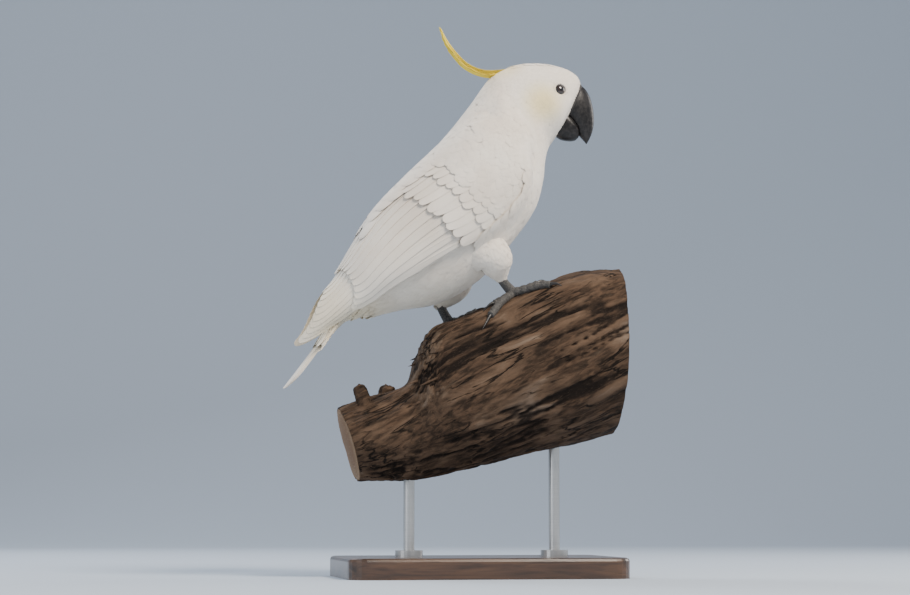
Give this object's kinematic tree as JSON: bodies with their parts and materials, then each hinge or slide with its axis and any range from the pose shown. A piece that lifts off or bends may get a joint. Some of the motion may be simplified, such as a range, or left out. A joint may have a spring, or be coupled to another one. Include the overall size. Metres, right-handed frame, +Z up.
{
  "type": "sulphur-crested cockatoo",
  "caption": "Life-size white cockatoo with a laid-back yellow crest, gripping a cut length of dead limb on a plain display stand; a still model.",
  "frame": {"origin": "middle of the model's bounding box, at the underside of the stand's base", "axes": "the bird faces +X, its plane of symmetry is near Y = 0 with its left side towards +Y, and +Z is up"},
  "size_m": [0.3678, 0.19, 0.6003],
  "materials": {
    "plumage": "soft white feathers with a faint yellow wash on the cheeks and under the tail",
    "skin": "bare pale skin round the eye and under the plumage",
    "crest": "sulphur-yellow feathers",
    "bill": "dark grey horn, dusty, with fine growth lines",
    "eye": "glossy, near black",
    "leg_skin": "dark grey scaly skin",
    "limb_wood": "weathered dead wood, cracked along the grain, with sawn ends",
    "stand_wood": "dark stained and satin varnished",
    "stand_metal": "brushed"
  },
  "bodies": {
    "root": {"head": "plumage", "neck": "plumage", "trunk": "plumage", "tail": "plumage", "wing_right": "plumage", "wing_left": "plumage", "thigh_right": "plumage", "thigh_left": "plumage", "crest": "crest", "bill_upper": "bill", "bill_lower": "bill", "eye_right": "eye", "eye_left": "eye", "foot_right": "leg_skin", "foot_left": "leg_skin", "perch_limb": "limb_wood", "stand_base": "stand_wood", "stand_rod_1": "stand_metal", "stand_rod_2": "stand_metal"}
  },
  "joints": []
}
